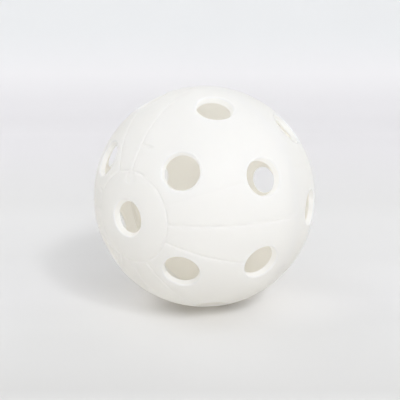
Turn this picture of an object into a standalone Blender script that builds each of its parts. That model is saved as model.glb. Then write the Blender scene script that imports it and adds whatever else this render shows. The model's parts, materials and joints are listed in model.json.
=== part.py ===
"""Floorball ball: two perforated half shells from one mould, welded together round the middle.

Metres, +Z up. The origin is the centre of the ball, and -Z is the point that it lies on.
"""

import math

import bpy
from mathutils import Matrix

# Driving dimensions of the ball, in metres
BALL_DIAMETER = 0.072
WALL = 0.0019
HOLE_DIAMETER = 0.0102
HOLE_EDGE_RADIUS = 0.0009

# Layout of the holes on each half, in degrees from its pole
POLE_SIDE_RING_HOLES = 4
POLE_SIDE_RING_ANGLE = 36.5
WELD_SIDE_RING_HOLES = 8
WELD_SIDE_RING_ANGLE = 72.0
WELD_SIDE_RING_START = 22.5
HALF_TURN_BETWEEN_HALVES = 22.5

# Engraved circle round the hole at each pole
CIRCLE_ANGLE = 22.5
CIRCLE_GROOVE_WIDTH = 0.0011
CIRCLE_GROOVE_DEPTH = 0.00018

# Weld between the two rims: a web trimmed flush outside, and a round flash left inside
WELD_WIDTH = 0.0008
WELD_CLEARANCE = 0.0001
WELD_TRIM = 0.00005
FLASH_WIDTH = 0.0022
FLASH_HEIGHT = 0.0004

# How the ball lies: where its first pole points, and its turn about that pole, in degrees
POLE_HEADING = -129.61
POLE_TILT = 90.71
TURN_ABOUT_POLE = 133.79

# Fineness of the round surfaces: the turned steps divide the angle from one ring hole to the next
TURNED_STEPS = 48
HOLE_STEPS = 24
OUTER_ARC_STEP = 6.0
INNER_ARC_STEP = 9.0
EDGE_ARC_POINTS = 3
FLASH_ARC_POINTS = 6
MERGE_DISTANCE = 0.00001
SHARP_ANGLE = math.radians(35)

# The rounding of a hole's edge stops short of level, so that it meets the surface at a clear angle
EDGE_ARC_END = math.radians(70)

COLLECTION_NAME = "floorball_ball"
CUTTER_COLLECTION_NAME = "hole_cutters"
PLASTIC_COLOR = (0.86, 0.86, 0.82, 1.0)
WELD_COLOR = (0.80, 0.80, 0.75, 1.0)
PLASTIC_ROUGHNESS = 0.42
WELD_ROUGHNESS = 0.55

OUTER_RADIUS = BALL_DIAMETER / 2
INNER_RADIUS = OUTER_RADIUS - WALL
HOLE_RADIUS = HOLE_DIAMETER / 2
RIM_HEIGHT = WELD_WIDTH / 2 + WELD_CLEARANCE
CUTTER_MARGIN = WALL


def clear_scene():
    for obj in list(bpy.data.objects):
        bpy.data.objects.remove(obj, do_unlink=True)


def new_collection(name):
    collection = bpy.data.collections.new(name)
    bpy.context.scene.collection.children.link(collection)
    return collection


def plastic(name, color, roughness):
    material = bpy.data.materials.new(name)
    material.use_nodes = True
    shader = material.node_tree.nodes["Principled BSDF"]
    shader.inputs["Base Color"].default_value = color
    shader.inputs["Roughness"].default_value = roughness
    shader.inputs["Metallic"].default_value = 0.0
    return material


def on_sphere(radius, angle):
    """Point of a turned profile: distance from the pole axis and height, at an angle from the pole."""
    return (radius * math.sin(angle), radius * math.cos(angle))


def arc(radius, start, end, step_degrees):
    """Points along a circle round the ball's centre, both ends included."""
    count = max(1, round(abs(end - start) / math.radians(step_degrees)))
    return [on_sphere(radius, start + (end - start) * i / count) for i in range(count + 1)]


def angle_at_height(radius, height):
    return math.acos(height / radius)


def hole_edge():
    """Rounded edge of a hole: from the bore's wall out to the ball's surface, along the hole's axis."""
    reach = HOLE_RADIUS + HOLE_EDGE_RADIUS * (1 - math.cos(EDGE_ARC_END))
    surface = math.sqrt(OUTER_RADIUS**2 - reach**2)
    start = surface - HOLE_EDGE_RADIUS * math.sin(EDGE_ARC_END)
    points = []
    for i in range(EDGE_ARC_POINTS):
        turn = EDGE_ARC_END * i / (EDGE_ARC_POINTS - 1)
        across = HOLE_RADIUS + HOLE_EDGE_RADIUS * (1 - math.cos(turn))
        points.append((across, start + HOLE_EDGE_RADIUS * math.sin(turn)))
    return points


def half_profile():
    """Closed section of a half shell, from its pole hole down the outside to the rim and back up inside."""
    edge = hole_edge()
    mouth = math.atan2(*edge[-1])
    circle = math.radians(CIRCLE_ANGLE)
    groove_half = CIRCLE_GROOVE_WIDTH / 2 / OUTER_RADIUS
    outer_rim = angle_at_height(OUTER_RADIUS, RIM_HEIGHT)
    inner_rim = angle_at_height(INNER_RADIUS, RIM_HEIGHT)
    inner_hole = math.asin(HOLE_RADIUS / INNER_RADIUS)
    points = list(edge)
    points += arc(OUTER_RADIUS, mouth, circle - groove_half, OUTER_ARC_STEP)[1:]
    points.append(on_sphere(OUTER_RADIUS - CIRCLE_GROOVE_DEPTH, circle))
    points += arc(OUTER_RADIUS, circle + groove_half, outer_rim, OUTER_ARC_STEP)
    points += arc(INNER_RADIUS, inner_rim, inner_hole, INNER_ARC_STEP)
    return points


def cutter_profile():
    """Section of a hole's cutter, from above the surface down along the rounded edge to below the wall."""
    edge = hole_edge()
    last_across, last_height = edge[-1]
    flare = (
        last_across + CUTTER_MARGIN * math.sin(EDGE_ARC_END),
        last_height + CUTTER_MARGIN * math.cos(EDGE_ARC_END),
    )
    top = OUTER_RADIUS + CUTTER_MARGIN
    bottom = math.sqrt(INNER_RADIUS**2 - HOLE_RADIUS**2) - CUTTER_MARGIN
    return [(0.0, top), (flare[0], top), flare, *reversed(edge), (HOLE_RADIUS, bottom), (0.0, bottom)]


def weld_profile():
    """Closed section of the weld bead: flush outside, a web between the rims and a round flash inside."""
    half_web = WELD_WIDTH / 2
    outside = math.sqrt((OUTER_RADIUS - WELD_TRIM) ** 2 - half_web**2)
    neck = math.sqrt(INNER_RADIUS**2 - RIM_HEIGHT**2) - WELD_CLEARANCE
    half_flash = FLASH_WIDTH / 2
    shoulder = math.sqrt(INNER_RADIUS**2 - half_flash**2) - WELD_CLEARANCE
    points = [(outside, half_web), (outside, -half_web), (neck, -half_web)]
    for i in range(FLASH_ARC_POINTS):
        turn = math.pi * i / (FLASH_ARC_POINTS - 1)
        points.append((shoulder - FLASH_HEIGHT * math.sin(turn), -half_flash * math.cos(turn)))
    points.append((neck, half_web))
    return points


def turned(name, points, closed, steps, collection):
    """Object turned about its own Z axis from a profile in its XZ plane."""
    mesh = bpy.data.meshes.new(name)
    ends = [(i, i + 1) for i in range(len(points) - 1)]
    if closed:
        ends.append((len(points) - 1, 0))
    mesh.from_pydata([(across, 0.0, height) for across, height in points], ends, [])
    obj = bpy.data.objects.new(name, mesh)
    collection.objects.link(obj)
    screw = obj.modifiers.new("turn", "SCREW")
    screw.axis = "Z"
    screw.steps = steps
    screw.render_steps = steps
    screw.use_merge_vertices = True
    screw.merge_threshold = MERGE_DISTANCE
    return obj


def applied_mesh(obj):
    """The object's mesh with its modifiers applied, shaded smooth but for its edges. The object is removed."""
    bpy.context.view_layer.update()
    graph = bpy.context.evaluated_depsgraph_get()
    mesh = bpy.data.meshes.new_from_object(obj.evaluated_get(graph))
    mesh.shade_smooth()
    mesh.set_sharp_from_angle(angle=SHARP_ANGLE)
    bpy.data.objects.remove(obj, do_unlink=True)
    return mesh


def ring_holes():
    """Directions of the holes in the two rings of one half, as turns away from its pole."""
    rings = (
        (POLE_SIDE_RING_HOLES, POLE_SIDE_RING_ANGLE, 0.0),
        (WELD_SIDE_RING_HOLES, WELD_SIDE_RING_ANGLE, WELD_SIDE_RING_START),
    )
    for count, angle, first in rings:
        for i in range(count):
            around = math.radians(first + 360 * i / count)
            yield Matrix.Rotation(around, 4, "Z") @ Matrix.Rotation(math.radians(angle), 4, "Y")


def moulded_half(parts, cutters):
    """Mesh of a half shell as it leaves the mould, its pole at +Z: turned, with the ring holes cut through."""
    for number, direction in enumerate(ring_holes(), 1):
        cutter = turned(f"hole_cutter_{number}", cutter_profile(), False, HOLE_STEPS, cutters)
        cutter.matrix_world = direction
        cutter.display_type = "WIRE"
        cutter.hide_render = True
    blank = turned("half_shell", half_profile(), True, TURNED_STEPS, parts)
    cut = blank.modifiers.new("holes", "BOOLEAN")
    cut.operation = "DIFFERENCE"
    cut.operand_type = "COLLECTION"
    cut.collection = cutters
    cut.solver = "EXACT"
    return applied_mesh(blank)


def weld_ring(parts):
    return applied_mesh(turned("weld_bead", weld_profile(), True, TURNED_STEPS, parts))


def place(name, mesh, material, turn, pose, parts):
    obj = bpy.data.objects.new(name, mesh)
    parts.objects.link(obj)
    obj.parent = pose
    obj.matrix_local = turn
    if not mesh.materials:
        mesh.materials.append(material)
    return obj


def make_pose():
    """Empty at the ball's centre that carries its pieces: +Z of the empty is the near half's pole."""
    pose = bpy.data.objects.new("ball_pose", None)
    bpy.context.scene.collection.objects.link(pose)
    pose.matrix_world = (
        Matrix.Rotation(math.radians(POLE_HEADING), 4, "Z")
        @ Matrix.Rotation(math.radians(POLE_TILT), 4, "Y")
        @ Matrix.Rotation(math.radians(TURN_ABOUT_POLE), 4, "Z")
    )
    return pose


def main():
    clear_scene()
    parts = new_collection(COLLECTION_NAME)
    cutters = new_collection(CUTTER_COLLECTION_NAME)
    white = plastic("white_polyethylene", PLASTIC_COLOR, PLASTIC_ROUGHNESS)
    fused = plastic("fused_polyethylene", WELD_COLOR, WELD_ROUGHNESS)
    pose = make_pose()
    half = moulded_half(parts, cutters)
    turned_over = Matrix.Rotation(math.pi, 4, "X")
    twisted = Matrix.Rotation(math.radians(HALF_TURN_BETWEEN_HALVES), 4, "Z")
    place("half_shell_near", half, white, Matrix.Identity(4), pose, parts)
    place("half_shell_far", half, white, twisted @ turned_over, pose, parts)
    place("weld_bead", weld_ring(parts), fused, Matrix.Identity(4), pose, parts)


main()
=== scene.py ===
"""Looks of the floorball ball: two moulded half shells and the weld between them, on a pale table."""

import json
import math

import bpy
import numpy as np
from mathutils import Matrix, Vector
from mathutils.geometry import delaunay_2d_cdt
from mathutils.kdtree import KDTree


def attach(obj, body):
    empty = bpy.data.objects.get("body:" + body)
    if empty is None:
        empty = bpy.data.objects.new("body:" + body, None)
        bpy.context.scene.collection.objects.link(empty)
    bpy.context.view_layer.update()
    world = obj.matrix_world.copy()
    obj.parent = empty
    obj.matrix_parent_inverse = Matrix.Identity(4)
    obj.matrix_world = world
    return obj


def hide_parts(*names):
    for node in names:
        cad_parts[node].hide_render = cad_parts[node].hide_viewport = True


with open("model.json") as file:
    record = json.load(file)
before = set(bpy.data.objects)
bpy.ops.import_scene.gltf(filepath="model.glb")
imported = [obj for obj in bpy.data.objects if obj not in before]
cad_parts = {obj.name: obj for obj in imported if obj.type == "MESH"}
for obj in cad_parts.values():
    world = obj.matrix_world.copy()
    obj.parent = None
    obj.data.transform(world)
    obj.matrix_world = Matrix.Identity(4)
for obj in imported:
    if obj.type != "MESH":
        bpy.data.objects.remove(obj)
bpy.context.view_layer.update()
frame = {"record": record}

# The ball, in metres: its centre is the origin, and it lies on its mount
FLOOR_HEIGHT = frame["record"]["mounts"][0]["pos_m"][2]
OUTER_RADIUS = -FLOOR_HEIGHT
WALL = 0.0019
INNER_RADIUS = OUTER_RADIUS - WALL

# Holes: their walls taper inwards between rounded edges
HOLE_MOUTH_RADIUS = 0.00575
HOLE_THROAT_RADIUS = 0.0050
POLE_HOLE_THROAT_RADIUS = 0.0044
HOLE_OUTER_EDGE = 0.0004
HOLE_INNER_EDGE = 0.0003

# Where the holes of one half lie, in degrees from its pole and round it
POLE_SIDE_RING_ANGLE = 36.5
POLE_SIDE_RING_AZIMUTHS = [90 * i for i in range(4)]
WELD_SIDE_RING_ANGLE = 72.0
WELD_SIDE_RING_AZIMUTHS = [22.5 + 45 * i for i in range(8)]
TURN_BETWEEN_HALVES = 22.5

# How the ball lies: where its near pole points, and its turn about that pole, in degrees
POLE_HEADING = -129.61
POLE_TILT = 90.71
TURN_ABOUT_POLE = 133.79

# Engraved panel lines: a circle round each pole hole, and lines from it to a hole or to just past the weld
GROOVE_HALF_WIDTH = 0.00062
GROOVE_DEPTH = 0.00025
CIRCLE_ANGLE = 22.5
LINES_TO_WELD = [45 + 90 * i for i in range(4)]
LINES_TO_WELD_END = 91.0
LINES_TO_HOLES = WELD_SIDE_RING_AZIMUTHS

# Share of the full depth on the fainter lines, by azimuth, and the share that every line loses at the weld
NEAR_FAINT_LINES = {22.5: 0.1, 337.5: 0.14}
FAR_FAINT_LINES = {45: 0.3}
LINE_FADE_START = 56.0
LINE_FADE = 0.55

# Short line across, which runs out at its first end
CROSS_LINE_ANGLE = 36.0
CROSS_LINE_AZIMUTHS = (31.0, 45.0)
CROSS_LINE_FADE = 3.0

# Flat round mark left by the mould's gate, beside the circle
GATE_ANGLE = 19.3
GATE_AZIMUTH = 45.0
GATE_RADIUS = 0.0019
GATE_DEPTH = 0.00014
GATE_SLOPE = 0.00018

# Weld between the rims: they meet at the outside, and open inwards to hold the weld's web
WELD_WIDTH = 0.0008
WELD_GAP = 0.00001
WELD_TIP_GAP = 0.00004
RIM_LIP = 0.0005

# Flash inside the ball, with its waves: how many go round, their share of the height, and their phase
FLASH_WIDTH = 0.0022
FLASH_HEIGHT = 0.0004
FLASH_WAVES = ((11, 0.10, 0.4), (23, 0.07, 1.9), (57, 0.05, 3.1))

# Fineness of the mesh: spacings in metres, numbers of steps, and the end of the points on grooves in degrees
OUTER_SPACING = 0.0011
INNER_SPACING = 0.0016
GROOVE_STEP = 0.0006
GROOVE_ROWS = 9
GROOVE_POINTS_END = 89.2
GATE_SLOPE_RINGS = 5
GATE_INNER_RING = 0.45 * GATE_RADIUS
GATE_STEPS = 28
HOLE_STEPS = 72
OUTER_EDGE_STEPS = 8
BORE_STEPS = 2
INNER_EDGE_STEPS = 4
RIM_STEPS = 288
FLASH_STEPS = 12
SHARP_ANGLE = math.radians(40)

# Room kept by the points on grooves, in metres, and by the even points between them, in spacings
GROOVE_POINT_TO_LOOP = 0.00012
GROOVE_POINT_TO_POINT = 0.00011
EVEN_POINT_TO_LOOP = 0.4
EVEN_POINT_TO_POINT = 0.55
EVEN_POINT_AREA = 0.866

# How close points count as one, the share of a mouth that stays open, and how upright an axis near a pole is
SAME_POINT = 1e-9
OPEN_SHARE = 0.9995
NEAR_POLE = 0.9

# Plastics: colours of the outside, of its cloudy parts, of the holes' walls and of the inside. The warmer
# colours of the holes' walls and of the inside are painted light: they stand in for the beige that light
# takes on as it passes through the wall and bounces round inside the ball
WHITE_PLASTIC = {
    "outside": (0.986, 0.990, 1.0, 1.0),
    "cloudy": (0.976, 0.979, 0.988, 1.0),
    "bore": (1.0, 0.994, 0.976, 1.0),
    "inside": (0.996, 0.965, 0.887, 1.0),
    "roughness": 0.42,
    "translucency": 0.6,
}
FUSED_PLASTIC = {
    "outside": (0.99, 0.985, 0.97, 1.0),
    "cloudy": (0.98, 0.973, 0.955, 1.0),
    "bore": (0.99, 0.985, 0.97, 1.0),
    "inside": (1.0, 0.985, 0.945, 1.0),
    "roughness": 0.34,
    "translucency": 0.5,
}
PLASTIC_IOR = 1.5
PLASTIC_SPECULAR = 0.4

# Where the colour changes through the wall, from the painted beige inside over the holes' warmer walls to the
# outside, as distances from the ball's centre
INSIDE_END = INNER_RADIUS + 0.02 * WALL
BORE_START = INNER_RADIUS + 0.15 * WALL
OUTSIDE_START = OUTER_RADIUS - GROOVE_DEPTH
BORE_END = OUTSIDE_START - 0.1 * WALL

# Texture of the plastic: cloudy colour, uneven polish, and a fine grain whose height is in metres
CLOUD_NOISE = {"Scale": 70.0, "Detail": 4.0, "Roughness": 0.55}
POLISH_NOISE = {"Scale": 420.0, "Detail": 3.0}
POLISH_SPREAD = 0.07
GRAIN_NOISE = {"Scale": 2600.0, "Detail": 2.0}
GRAIN_STRENGTH = 0.25
GRAIN_HEIGHT = 0.00002

# Table that curves up into a backdrop, in metres from the ball's centre
TABLE_FRONT = -0.9
TABLE_HALF_WIDTH = 0.9
BACKDROP_START = 0.42
BACKDROP_BEND = 0.10
BACKDROP_BEND_STEPS = 12
BACKDROP_TOP = 1.2
TABLE_ROUGHNESS = 0.7
TABLE_SPECULAR = 0.2

# Colour of the table by the way along it from under the ball, back and up the backdrop, with painted light
# and shade: its changes of tone copy the falloff of the lamps' light, the bright band where the table bends
# up and the shade beside the ball. The bright strip in front, out of view, throws light up onto the ball
TABLE_PAINTED_LIGHT_TONES = (
    (-0.45, (0.70, 0.69, 0.665)),
    (-0.12, (0.93, 0.91, 0.88)),
    (-0.065, (0.667, 0.651, 0.62)),
    (-0.025, (0.785, 0.77, 0.741)),
    (0.0, (0.803, 0.785, 0.761)),
    (0.05, (0.744, 0.727, 0.70)),
    (0.11, (0.782, 0.764, 0.735)),
    (0.15, (0.778, 0.759, 0.73)),
    (0.33, (0.854, 0.826, 0.817)),
    (0.42, (0.88, 0.853, 0.845)),
    (0.47, (0.851, 0.825, 0.816)),
    (0.51, (0.872, 0.847, 0.836)),
    (0.555, (0.936, 0.914, 0.898)),
    (0.61, (0.902, 0.905, 0.886)),
)
# Painted light across the table: a little lighter to the left and darker to the right
PAINTED_LIGHT_LEFT_AND_RIGHT = (1.02, 0.98)
PAINTED_LIGHT_SPREAD = 0.25

# How far from the ball the table runs into the pale surroundings: to its sides, and sooner in front of it
SURROUNDINGS_FROM = 0.3
SURROUNDINGS_TO = 0.6
SURROUNDINGS_IN_FRONT = 0.2

# Light: its colour, and the strength of the surroundings as they light things and as the camera sees them
LIGHT_COLOR = (0.93, 0.953, 1.0)
WORLD_LIGHT = 0.02
WORLD_SEEN = 0.85

# Soft boxes: degrees to the right of the camera and above the floor, power in watts, and width in metres
SOFT_BOX_DISTANCE = 0.8
SOFT_BOXES = (
    ("key_box", 20, 36, 1.42, 0.2),
    ("side_key_box", 30, 41, 1.35, 0.1),
    ("fill_box", -20, 30, 1.32, 0.6),
    ("low_box", 5, 13, 1.02, 0.35),
    ("top_box", 0, 60, 0.51, 0.6),
    ("left_box", -98, 43, 2.86, 0.6),
    ("right_box", 80, 30, 1.45, 0.6),
    ("rear_box", 110, 45, 1.75, 0.6),
    ("back_box", -165, 50, 0.36, 0.6),
)

# Camera, fitted to the outline and holes in the photograph: its lens is in millimetres, its frame in pixels
CAMERA_DISTANCE = 0.2428
CAMERA_ELEVATION = math.radians(12.5)
CAMERA_LENS = 66.27
CAMERA_SENSOR = 36.0
CAMERA_CLIP_START = 0.01
FRAME_PIXELS = 400
BALL_RIGHT_OF_CENTRE = 4.27
BALL_ABOVE_CENTRE = 3.55


def direction(colatitude, azimuth):
    """Unit vectors from the ball's centre, by degrees from the pole and round it."""
    down, turn = np.broadcast_arrays(np.radians(colatitude), np.radians(azimuth))
    return np.stack([np.sin(down) * np.cos(turn), np.sin(down) * np.sin(turn), np.cos(down)], axis=-1)


def angles_from(points, axes):
    """Angles in radians between directions and one axis or several."""
    return np.arccos(np.clip(points @ axes.T, -1, 1))


def colatitudes(points):
    """Angles in radians between directions and the pole."""
    return np.arccos(np.clip(points[:, 2], -1, 1))


def hole_axes(radius):
    """Directions of one half's holes at a radius: those by the weld run square to the pole axis."""
    level = OUTER_RADIUS * math.cos(math.radians(WELD_SIDE_RING_ANGLE))
    weld_side_angle = math.degrees(math.acos(level / radius))
    axes = [direction(0.0, 0.0)]
    axes += [direction(POLE_SIDE_RING_ANGLE, azimuth) for azimuth in POLE_SIDE_RING_AZIMUTHS]
    axes += [direction(weld_side_angle, azimuth) for azimuth in WELD_SIDE_RING_AZIMUTHS]
    return np.array(axes)


def round_axis(axis, angle, count):
    """Unit vectors at an angle (radians) from an axis, counter-clockwise as seen from outside the ball."""
    helper = np.array([0.0, 0.0, 1.0]) if abs(axis[2]) < NEAR_POLE else np.array([1.0, 0.0, 0.0])
    side = np.cross(helper, axis)
    side /= np.linalg.norm(side)
    other = np.cross(axis, side)
    turn = np.linspace(0, 2 * math.pi, count, endpoint=False)[:, None]
    return math.cos(angle) * axis + math.sin(angle) * (np.cos(turn) * side + np.sin(turn) * other)


def groove_section(offset):
    """Depth across a full groove, as a smooth dip."""
    inside = np.abs(offset) < GROOVE_HALF_WIDTH
    return np.where(inside, GROOVE_DEPTH * 0.5 * (1 + np.cos(math.pi * offset / GROOVE_HALF_WIDTH)), 0.0)


def panel_lines():
    """Azimuth of each straight groove, and how far from the pole it ends."""
    for azimuth in LINES_TO_WELD:
        yield azimuth, LINES_TO_WELD_END
    for azimuth in LINES_TO_HOLES:
        yield azimuth, WELD_SIDE_RING_ANGLE


def surface_depth(points, faint_lines):
    """How far the moulded surface lies below the round one, in each of some directions."""
    colatitude = np.degrees(colatitudes(points))
    azimuth = np.degrees(np.arctan2(points[:, 1], points[:, 0]))
    depth = groove_section(np.radians(colatitude - CIRCLE_ANGLE) * OUTER_RADIUS)
    towards_weld = np.clip((colatitude - LINE_FADE_START) / (90 - LINE_FADE_START), 0, 1)
    for line, end in panel_lines():
        offset = np.arcsin(np.clip(points @ direction(90, line + 90), -1, 1)) * OUTER_RADIUS
        ahead = points @ direction(90, line) > 0
        on_line = ahead & (colatitude > CIRCLE_ANGLE) & (colatitude < end)
        section = groove_section(offset) * faint_lines.get(line, 1.0) * (1 - LINE_FADE * towards_weld)
        depth = np.maximum(depth, np.where(on_line, section, 0.0))
    start, end = CROSS_LINE_AZIMUTHS
    across = np.radians(colatitude - CROSS_LINE_ANGLE) * OUTER_RADIUS
    fade = np.clip((azimuth - start) / CROSS_LINE_FADE, 0, 1) * (azimuth < end)
    depth = np.maximum(depth, groove_section(across) * fade)
    from_gate = angles_from(points, direction(GATE_ANGLE, GATE_AZIMUTH)) * OUTER_RADIUS
    step = np.clip((GATE_RADIUS - from_gate) / GATE_SLOPE, 0, 1)
    return np.maximum(depth, GATE_DEPTH * step * step * (3 - 2 * step))


def groove_points():
    """Directions along and across every groove and round the gate mark, close enough to give their shape."""
    offsets = np.linspace(-1.0, 1.0, GROOVE_ROWS) * GROOVE_HALF_WIDTH / OUTER_RADIUS
    step = math.degrees(GROOVE_STEP / OUTER_RADIUS)
    circle_step = step / math.sin(math.radians(CIRCLE_ANGLE))
    azimuths = np.linspace(0, 360, round(360 / circle_step), endpoint=False)
    yield np.concatenate([direction(CIRCLE_ANGLE + math.degrees(o), azimuths) for o in offsets])
    for line, end in panel_lines():
        middle = direction(np.arange(CIRCLE_ANGLE, min(end, GROOVE_POINTS_END), step), line)
        sideways = direction(90, line + 90)
        yield np.concatenate([math.cos(o) * middle + math.sin(o) * sideways for o in offsets])
    azimuths = np.arange(*CROSS_LINE_AZIMUTHS, step / math.sin(math.radians(CROSS_LINE_ANGLE)))
    yield np.concatenate([direction(CROSS_LINE_ANGLE + math.degrees(o), azimuths) for o in offsets])
    gate = direction(GATE_ANGLE, GATE_AZIMUTH)
    radii = [*np.linspace(GATE_RADIUS - GATE_SLOPE, GATE_RADIUS, GATE_SLOPE_RINGS), GATE_INNER_RING]
    yield np.concatenate([round_axis(gate, radius / OUTER_RADIUS, GATE_STEPS) for radius in radii])


def even_points(radius, spacing):
    """Directions spread evenly over one half, on a golden spiral."""
    count = round(2 * math.pi * radius**2 / (EVEN_POINT_AREA * spacing**2))
    index = np.arange(count) + 0.5
    colatitude = np.degrees(np.arccos(1 - index / count))
    return direction(colatitude, np.degrees(index * math.pi * (3 - math.sqrt(5))))


def kept_clear(points, others, distance):
    """Those points that lie at least a distance (as an angle) from all of the others."""
    tree = KDTree(len(others))
    for number, other in enumerate(others):
        tree.insert(other, number)
    tree.balance()
    return np.array([p for p in points if tree.find(p)[2] >= distance]).reshape(-1, 3)


def outside_holes(points, radius, mouths, margin, rim):
    """Those points that lie outside every hole's mouth and above the rim, by a margin (as an angle)."""
    clear_of_holes = np.all(angles_from(points, hole_axes(radius)) > mouths + margin, axis=1)
    return points[clear_of_holes & (colatitudes(points) < rim - margin)]


def triangulated(points, loops, radius, mouths):
    """Triangles over directions of one half, with its loops as edges and the holes' mouths left open."""
    flat = points[:, :2] / (1 + points[:, 2:])
    edges = [(a, b) for loop in loops for a, b in zip(loop, np.roll(loop, -1))]
    result = delaunay_2d_cdt([Vector(p) for p in flat], edges, [], 0, SAME_POINT)
    origin = np.array([sources[0] for sources in result[3]])
    faces = origin[np.array(result[2])]
    middle = points[faces].mean(axis=1)
    middle /= np.linalg.norm(middle, axis=1)[:, None]
    return faces[np.all(angles_from(middle, hole_axes(radius)) > mouths * OPEN_SHARE, axis=1)]


def skin(radius, mouths, rim, spacing, features):
    """Directions and triangles of one side of a half shell, and the numbers of its rim and hole loops."""
    rim_loop = direction(math.degrees(rim), np.arange(RIM_STEPS) * 360 / RIM_STEPS)
    hole_loops = [round_axis(axis, mouth, HOLE_STEPS) for axis, mouth in zip(hole_axes(radius), mouths)]
    loops = [np.arange(RIM_STEPS)]
    loops += [RIM_STEPS + hole * HOLE_STEPS + np.arange(HOLE_STEPS) for hole in range(len(hole_loops))]
    kept = np.concatenate([rim_loop, *hole_loops])
    for group in features:
        group = outside_holes(group, radius, mouths, GROOVE_POINT_TO_LOOP / radius, rim)
        kept = np.concatenate([kept, kept_clear(group, kept, GROOVE_POINT_TO_POINT / radius)])
    even = even_points(radius, spacing)
    even = outside_holes(even, radius, mouths, EVEN_POINT_TO_LOOP * spacing / radius, rim)
    kept = np.concatenate([kept, kept_clear(even, kept, EVEN_POINT_TO_POINT * spacing / radius)])
    return kept, triangulated(kept, loops, radius, mouths), loops


def edge_centre(radius, offset, draft):
    """Centre of a rounded edge, at a distance from the ball's centre and an offset inside a hole's wall."""
    across = HOLE_MOUTH_RADIUS + offset * math.cos(draft)
    along = math.sqrt(OUTER_RADIUS**2 - HOLE_MOUTH_RADIUS**2) - offset * math.sin(draft)
    ahead = across * math.sin(draft) + along * math.cos(draft)
    inwards = ahead - math.sqrt(ahead**2 - across**2 - along**2 + radius**2)
    return across - inwards * math.sin(draft), along - inwards * math.cos(draft)


def edge_profile(throat):
    """Section of a hole: over its outer edge, down the tapered wall and round to the inside."""
    draft = math.atan2(HOLE_MOUTH_RADIUS - throat, WALL)
    outer = edge_centre(OUTER_RADIUS - HOLE_OUTER_EDGE, HOLE_OUTER_EDGE, draft)
    inner = edge_centre(INNER_RADIUS + HOLE_INNER_EDGE, HOLE_INNER_EDGE, draft)
    outer_end = math.atan2(outer[1], outer[0])
    inner_end = math.pi + math.atan2(inner[1], inner[0])
    outer_turns = np.linspace(outer_end, math.pi - draft, OUTER_EDGE_STEPS + 1)
    inner_turns = np.linspace(math.pi - draft, inner_end, INNER_EDGE_STEPS + 1)
    upper = outer + HOLE_OUTER_EDGE * np.stack([np.cos(outer_turns), np.sin(outer_turns)], axis=1)
    lower = inner + HOLE_INNER_EDGE * np.stack([np.cos(inner_turns), np.sin(inner_turns)], axis=1)
    wall = [upper[-1] + (lower[0] - upper[-1]) * i / BORE_STEPS for i in range(1, BORE_STEPS)]
    return [*upper, *wall, *lower]


def wall_rings(hole, profile, sunk):
    """Rings of points down a hole's wall, between its two loops. A groove at its mouth fades out there."""
    for number, (across, along) in enumerate(profile[1:-1], 1):
        radius = math.hypot(across, along)
        ring = round_axis(hole_axes(radius)[hole], math.atan2(across, along), HOLE_STEPS)
        fade = max(0.0, 1 - number / OUTER_EDGE_STEPS) ** 2
        yield ring * (radius - sunk * fade)[:, None]


def ring_faces(upper, lower):
    """Quads between two loops with as many points: upper is the one on the outer side."""
    return np.stack([upper, np.roll(upper, -1), np.roll(lower, -1), lower], axis=1)


def smooth_mesh(name, vertices, faces):
    """Mesh that is shaded smooth but for its sharp edges."""
    mesh = bpy.data.meshes.new(name)
    mesh.from_pydata(vertices, [], faces)
    mesh.shade_smooth()
    mesh.set_sharp_from_angle(angle=SHARP_ANGLE)
    return mesh


def half_shell_mesh(faint_lines):
    """One half as it leaves the mould, its pole at +Z: the grooved outside, the inside, the holes and rim."""
    ring_holes = len(POLE_SIDE_RING_AZIMUTHS) + len(WELD_SIDE_RING_AZIMUTHS)
    profiles = [edge_profile(POLE_HOLE_THROAT_RADIUS)] + ring_holes * [edge_profile(HOLE_THROAT_RADIUS)]
    outer_mouths = np.array([math.atan2(*profile[0]) for profile in profiles])
    inner_mouths = np.array([math.atan2(*profile[-1]) for profile in profiles])
    outer_rim = math.acos(WELD_GAP / 2 / OUTER_RADIUS)
    inner_rim = math.acos((WELD_WIDTH / 2 + WELD_GAP) / INNER_RADIUS)
    outer, outer_faces, outer_loops = skin(
        OUTER_RADIUS, outer_mouths, outer_rim, OUTER_SPACING, groove_points()
    )
    inner, inner_faces, inner_loops = skin(INNER_RADIUS, inner_mouths, inner_rim, INNER_SPACING, [])
    inner_faces = inner_faces[:, ::-1] + len(outer)
    inner_loops = [loop + len(outer) for loop in inner_loops]
    depth = surface_depth(outer, faint_lines)
    depth[outer_loops[0]] = 0.0
    vertices = [outer * (OUTER_RADIUS - depth)[:, None], inner * INNER_RADIUS]
    count = len(outer) + len(inner)
    lip = count + np.arange(RIM_STEPS)
    vertices.append(outer[outer_loops[0]] * (OUTER_RADIUS - RIM_LIP))
    count += RIM_STEPS
    quads = [ring_faces(lip, outer_loops[0]), ring_faces(inner_loops[0], lip)]
    for hole, (profile, upper, last) in enumerate(zip(profiles, outer_loops[1:], inner_loops[1:])):
        for ring in wall_rings(hole, profile, depth[upper]):
            vertices.append(ring)
            lower = count + np.arange(HOLE_STEPS)
            count += HOLE_STEPS
            quads.append(ring_faces(upper, lower))
            upper = lower
        quads.append(ring_faces(upper, last))
    faces = outer_faces.tolist() + inner_faces.tolist() + np.concatenate(quads).tolist()
    return smooth_mesh("half_shell", np.concatenate(vertices).tolist(), faces)


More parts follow.
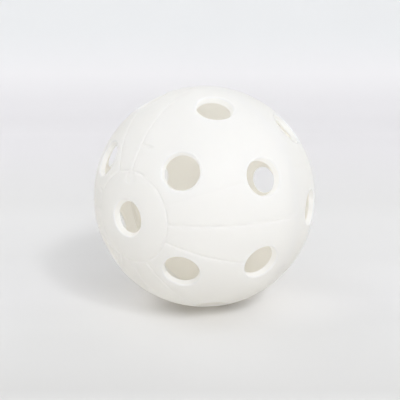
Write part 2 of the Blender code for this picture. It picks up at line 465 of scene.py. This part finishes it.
def weld_mesh():
    """Ring of fused plastic: a web that narrows outwards between the rims, and an uneven flash inside."""
    half_web = WELD_WIDTH / 2
    tip = OUTER_RADIUS - RIM_LIP - WELD_TIP_GAP
    half_flash = FLASH_WIDTH / 2
    seat = math.sqrt(INNER_RADIUS**2 - half_flash**2) - WELD_GAP
    vertices = []
    for step in range(RIM_STEPS):
        turn = 2 * math.pi * step / RIM_STEPS
        swell = 1 + sum(size * math.sin(waves * turn + phase) for waves, size, phase in FLASH_WAVES)
        section = [(tip, 0.0), (seat, -half_web)]
        for i in range(FLASH_STEPS + 1):
            bend = math.pi * i / FLASH_STEPS
            section.append((seat - FLASH_HEIGHT * swell * math.sin(bend), -half_flash * math.cos(bend)))
        section.append((seat, half_web))
        vertices += [(a * math.cos(turn), a * math.sin(turn), z) for a, z in section]
    section_points = len(vertices) // RIM_STEPS
    faces = []
    for step in range(RIM_STEPS):
        here = step * section_points
        after = (step + 1) % RIM_STEPS * section_points
        for i in range(section_points):
            j = (i + 1) % section_points
            faces.append((here + i, here + j, after + j, after + i))
    return smooth_mesh("weld_ring", vertices, faces)


def give(tree, socket, value):
    """Give a socket its value: a link where that is another node's output, and a constant where it isn't."""
    if isinstance(value, bpy.types.NodeSocket):
        tree.links.new(value, socket)
    else:
        socket.default_value = value


def add(tree, kind, sockets=None, **settings):
    """A new node with its own settings, and the values of its input sockets by name or number."""
    node = tree.nodes.new(kind)
    for name, setting in settings.items():
        setattr(node, name, setting)
    for name, value in (sockets or {}).items():
        give(tree, node.inputs[name], value)
    return node


def ranged(tree, value, start, end, low=0.0, high=1.0, kind="LINEAR"):
    """Output that goes from low to high while a value goes from start to end."""
    sockets = {"Value": value, "From Min": start, "From Max": end, "To Min": low, "To Max": high}
    return add(tree, "ShaderNodeMapRange", sockets, interpolation_type=kind).outputs["Result"]


def mixed(tree, factor, first, second):
    """Output that goes from a first colour to a second one as a factor grows."""
    sockets = {"Factor": factor, "A": first, "B": second}
    return add(tree, "ShaderNodeMix", sockets, data_type="RGBA").outputs["Result"]


def noise(tree, place, sockets):
    return add(tree, "ShaderNodeTexNoise", {"Vector": place, **sockets}).outputs["Fac"]


def length(tree, vector):
    return add(tree, "ShaderNodeVectorMath", {0: vector}, operation="LENGTH").outputs["Value"]


def arithmetic(tree, operation, first, second):
    return add(tree, "ShaderNodeMath", {0: first, 1: second}, operation=operation).outputs["Value"]


def camera_ray(tree):
    return add(tree, "ShaderNodeLightPath").outputs["Is Camera Ray"]


def new_material(name):
    """A material with nodes: itself, its node tree and its main shader."""
    material = bpy.data.materials.new(name)
    material.use_nodes = True
    return material, material.node_tree, material.node_tree.nodes["Principled BSDF"]


def blend_into_surface(tree, share, first, second):
    """Make a material's surface a mix of two shaders, with a share of the second one."""
    blend = add(tree, "ShaderNodeMixShader", {0: share, 1: first, 2: second})
    tree.links.new(blend.outputs["Shader"], tree.nodes["Material Output"].inputs["Surface"])


def polyethylene(name, outside, cloudy, bore, inside, roughness, translucency):
    """Moulded polyethylene: cloudy white that lets light through, with a fine texture, and painted light on
    its inside and holes' walls, whose warmer colours stand in for light that turns beige inside the ball.
    """
    material, tree, shader = new_material(name)
    place = add(tree, "ShaderNodeTexCoord").outputs["Object"]
    from_centre = length(tree, place)
    outer_side = ranged(tree, from_centre, INSIDE_END, BORE_START, kind="SMOOTHSTEP")
    above_bores = ranged(tree, from_centre, BORE_END, OUTSIDE_START, kind="SMOOTHSTEP")
    skin_color = mixed(tree, noise(tree, place, CLOUD_NOISE), outside, cloudy)
    # Painted light: the inside's beige and the holes' warmer walls, mixed in by the distance from the centre
    color = mixed(tree, outer_side, inside, mixed(tree, above_bores, bore, skin_color))
    polish = noise(tree, place, POLISH_NOISE)
    gloss = ranged(tree, polish, 0.0, 1.0, roughness - POLISH_SPREAD, roughness + POLISH_SPREAD)
    grain = noise(tree, place, GRAIN_NOISE)
    bump = {"Height": grain, "Strength": GRAIN_STRENGTH, "Distance": GRAIN_HEIGHT}
    normal = add(tree, "ShaderNodeBump", bump).outputs["Normal"]
    give(tree, shader.inputs["Base Color"], color)
    give(tree, shader.inputs["Roughness"], gloss)
    give(tree, shader.inputs["Normal"], normal)
    give(tree, shader.inputs["IOR"], PLASTIC_IOR)
    give(tree, shader.inputs["Specular IOR Level"], PLASTIC_SPECULAR)
    glow = add(tree, "ShaderNodeBsdfTranslucent", {"Color": color, "Normal": normal})
    blend_into_surface(tree, translucency, shader.outputs["BSDF"], glow.outputs["BSDF"])
    return material


def table_color_with_painted_light(tree, x, y, z):
    """Colour of the table with light and shade painted into it: by the way along it and up the backdrop, and
    a little by the way across.
    """
    near_end = TABLE_PAINTED_LIGHT_TONES[0][0]
    far_end = TABLE_PAINTED_LIGHT_TONES[-1][0]
    way = ranged(tree, arithmetic(tree, "ADD", y, z), near_end + FLOOR_HEIGHT, far_end + FLOOR_HEIGHT)
    ramp = add(tree, "ShaderNodeValToRGB", {"Fac": way})
    stops = ramp.color_ramp.elements
    stops[0].color = (*TABLE_PAINTED_LIGHT_TONES[0][1], 1.0)
    stops[1].color = (*TABLE_PAINTED_LIGHT_TONES[-1][1], 1.0)
    for distance, tone in TABLE_PAINTED_LIGHT_TONES[1:-1]:
        stops.new((distance - near_end) / (far_end - near_end)).color = (*tone, 1.0)
    across = ranged(tree, x, -PAINTED_LIGHT_SPREAD, PAINTED_LIGHT_SPREAD, *PAINTED_LIGHT_LEFT_AND_RIGHT)
    sockets = {0: ramp.outputs["Color"], "Scale": across}
    return add(tree, "ShaderNodeVectorMath", sockets, operation="SCALE").outputs["Vector"]


def surroundings_share(tree, x, y):
    """How much the camera sees the pale surroundings instead of the table: more to the sides and in front."""
    in_front = ranged(tree, y, -SURROUNDINGS_IN_FRONT, 0.0, SURROUNDINGS_TO, 0.0)
    from_ball = length(tree, add(tree, "ShaderNodeCombineXYZ", {"X": x, "Y": in_front}).outputs["Vector"])
    away = ranged(tree, from_ball, SURROUNDINGS_FROM, SURROUNDINGS_TO, kind="SMOOTHSTEP")
    return arithmetic(tree, "MULTIPLY", away, camera_ray(tree))


def tabletop(name):
    """Pale matte table, which runs up into the backdrop and out into the surroundings."""
    material, tree, shader = new_material(name)
    place = add(tree, "ShaderNodeTexCoord").outputs["Object"]
    apart = add(tree, "ShaderNodeSeparateXYZ", {"Vector": place}).outputs
    # The table's base colour carries the painted light and shade
    give(tree, shader.inputs["Base Color"], table_color_with_painted_light(tree, apart["X"], apart["Y"], apart["Z"]))
    give(tree, shader.inputs["Roughness"], TABLE_ROUGHNESS)
    give(tree, shader.inputs["Specular IOR Level"], TABLE_SPECULAR)
    pale = add(tree, "ShaderNodeEmission", {"Color": (*LIGHT_COLOR, 1.0), "Strength": WORLD_SEEN})
    share = surroundings_share(tree, apart["X"], apart["Y"])
    blend_into_surface(tree, share, shader.outputs["BSDF"], pale.outputs["Emission"])
    return material


def place_piece(name, mesh, material, turn, node):
    """Piece of the ball, with its turn in its mesh, that stands for a node."""
    mesh.transform(turn)
    mesh.materials.append(material)
    piece = bpy.data.objects.new(name, mesh)
    bpy.context.scene.collection.objects.link(piece)
    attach(piece, "root")
    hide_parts(node)


def make_ball():
    white = polyethylene("moulded_polyethylene", **WHITE_PLASTIC)
    fused = polyethylene("fused_polyethylene", **FUSED_PLASTIC)
    pose = (
        Matrix.Rotation(math.radians(POLE_HEADING), 4, "Z")
        @ Matrix.Rotation(math.radians(POLE_TILT), 4, "Y")
        @ Matrix.Rotation(math.radians(TURN_ABOUT_POLE), 4, "Z")
    )
    twist = Matrix.Rotation(math.radians(TURN_BETWEEN_HALVES), 4, "Z")
    turned_over = twist @ Matrix.Rotation(math.pi, 4, "X")
    near = half_shell_mesh(NEAR_FAINT_LINES)
    far = half_shell_mesh(FAR_FAINT_LINES)
    place_piece("near_half", near, white, pose, "half_shell_near")
    place_piece("far_half", far, white, pose @ turned_over, "half_shell_far")
    place_piece("weld_ring", weld_mesh(), fused, pose, "weld_bead")


def make_stage():
    """Table that curves up into a backdrop, as one sheet."""
    profile = [(TABLE_FRONT, FLOOR_HEIGHT), (BACKDROP_START, FLOOR_HEIGHT)]
    for i in range(1, BACKDROP_BEND_STEPS + 1):
        bend = math.pi / 2 * i / BACKDROP_BEND_STEPS
        back = BACKDROP_START + BACKDROP_BEND * math.sin(bend)
        profile.append((back, FLOOR_HEIGHT + BACKDROP_BEND * (1 - math.cos(bend))))
    profile.append((BACKDROP_START + BACKDROP_BEND, BACKDROP_TOP))
    vertices = [(x, y, z) for y, z in profile for x in (-TABLE_HALF_WIDTH, TABLE_HALF_WIDTH)]
    faces = [(2 * i, 2 * i + 1, 2 * i + 3, 2 * i + 2) for i in range(len(profile) - 1)]
    mesh = bpy.data.meshes.new("table")
    mesh.from_pydata(vertices, [], faces)
    mesh.shade_smooth()
    mesh.materials.append(tabletop("pale_table"))
    table = bpy.data.objects.new("table", mesh)
    bpy.context.scene.collection.objects.link(table)


def soft_box(name, azimuth, elevation, power, size):
    """Square soft light that faces the ball, in degrees to the right of the camera and above the floor."""
    turn = math.radians(azimuth)
    rise = math.radians(elevation)
    towards = Vector((math.cos(rise) * math.sin(turn), -math.cos(rise) * math.cos(turn), math.sin(rise)))
    data = bpy.data.lights.new(name, "AREA")
    data.size = size
    data.energy = power
    data.color = LIGHT_COLOR
    light = bpy.data.objects.new(name, data)
    bpy.context.scene.collection.objects.link(light)
    light.location = towards * SOFT_BOX_DISTANCE
    light.rotation_euler = towards.to_track_quat("Z", "Y").to_euler()


def make_light():
    """Dim surroundings that the camera sees as pale, and the soft boxes."""
    world = bpy.data.worlds.new("studio")
    bpy.context.scene.world = world
    world.use_nodes = True
    tree = world.node_tree
    background = tree.nodes["Background"]
    strength = ranged(tree, camera_ray(tree), 0.0, 1.0, WORLD_LIGHT, WORLD_SEEN)
    give(tree, background.inputs["Color"], (*LIGHT_COLOR, 1.0))
    give(tree, background.inputs["Strength"], strength)
    for box in SOFT_BOXES:
        soft_box(*box)


def make_camera():
    data = bpy.data.cameras.new("camera")
    data.lens = CAMERA_LENS
    data.sensor_width = CAMERA_SENSOR
    data.shift_x = -BALL_RIGHT_OF_CENTRE / FRAME_PIXELS
    data.shift_y = -BALL_ABOVE_CENTRE / FRAME_PIXELS
    data.clip_start = CAMERA_CLIP_START
    camera = bpy.data.objects.new("camera", data)
    bpy.context.scene.collection.objects.link(camera)
    camera.location = (
        0.0,
        -CAMERA_DISTANCE * math.cos(CAMERA_ELEVATION),
        CAMERA_DISTANCE * math.sin(CAMERA_ELEVATION),
    )
    camera.rotation_euler = (math.pi / 2 - CAMERA_ELEVATION, 0.0, 0.0)
    bpy.context.scene.camera = camera


make_ball()
make_stage()
make_light()
make_camera()
bpy.context.scene.view_settings.view_transform = "Standard"
